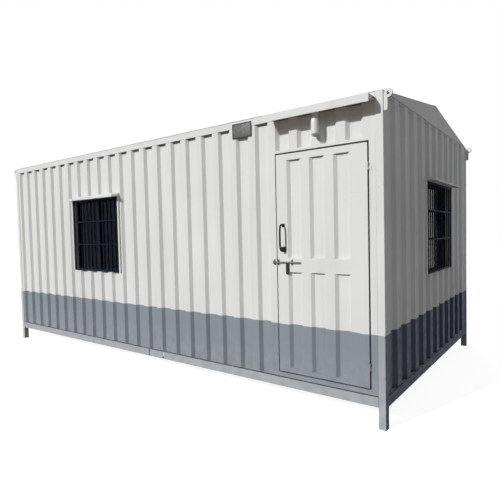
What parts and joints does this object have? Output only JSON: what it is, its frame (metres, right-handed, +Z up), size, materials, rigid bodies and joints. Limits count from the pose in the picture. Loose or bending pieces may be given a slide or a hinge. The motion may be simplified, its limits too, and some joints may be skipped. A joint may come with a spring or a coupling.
{
  "type": "site office cabin",
  "caption": "Portable steel site office cabin on short legs: corrugated walls, low gable roof, hinged panelled door with a sliding bolt, hooded windows and lifting eyes.",
  "frame": {"origin": "on the ground, at the middle of the box round the cabin and its door canopy", "axes": "+X along the cabin towards the door end, -Y out of the front wall, +Z up"},
  "size_m": [6.308, 3.18, 2.92],
  "materials": {
    "frame_paint": "weathered semi-gloss enamel",
    "wall_paint": "weathered semi-gloss enamel, grey below the paint line",
    "roof_sheet": "weathered enamel with dust",
    "lining_board": "laminated board",
    "floor_board": "worn plywood",
    "sash_metal": "dark anodised",
    "window_glass": "tinted glass",
    "door_paint": "weathered semi-gloss enamel, grey below the paint line",
    "dark_steel": "worn black steel",
    "lamp_shell": "white opal plastic"
  },
  "bodies": {
    "cabin": {"front_bottom_rail": "frame_paint", "back_bottom_rail": "frame_paint", "left_bottom_rail": "frame_paint", "right_bottom_rail": "frame_paint", "post_front_left": "frame_paint", "post_front_right": "frame_paint", "post_back_left": "frame_paint", "post_back_right": "frame_paint", "front_top_rail": "frame_paint", "back_top_rail": "frame_paint", "left_top_rail": "frame_paint", "right_top_rail": "frame_paint", "lug_front_left": "frame_paint", "lug_front_right": "frame_paint", "lug_back_left": "frame_paint", "lug_back_right": "frame_paint", "floor_joists": "frame_paint", "front_wall": "wall_paint", "back_wall": "wall_paint", "left_wall": "wall_paint", "right_wall": "wall_paint", "left_gable": "wall_paint", "right_gable": "wall_paint", "door_frame": "wall_paint", "door_canopy": "wall_paint", "frame_hinges": "wall_paint", "window_frames": "wall_paint", "window_hoods": "wall_paint", "roof_front": "roof_sheet", "roof_back": "roof_sheet", "ridge_cap": "roof_sheet", "front_lining": "lining_board", "back_lining": "lining_board", "left_lining": "lining_board", "right_lining": "lining_board", "ceiling": "lining_board", "floor_deck": "floor_board", "window_sashes": "sash_metal", "window_glass": "window_glass", "bolt_keeper": "dark_steel", "door_lamp": "lamp_shell"},
    "door": {"door_leaf": "door_paint", "door_hinges": "door_paint", "door_handle": "dark_steel", "bolt_brackets": "dark_steel"},
    "bolt": {"door_bolt": "dark_steel"}
  },
  "joints": [
    {"name": "door_hinge", "type": "hinge", "parent": "cabin", "child": "door", "pos_m": [2.9175, -1.4675, 1.3], "axis": [0, 0, 1], "range_deg": [0, 170]},
    {"name": "bolt_slide", "type": "slide", "parent": "door", "child": "bolt", "axis": [-1, 0, 0], "range_m": [0, 0.061]}
  ]
}
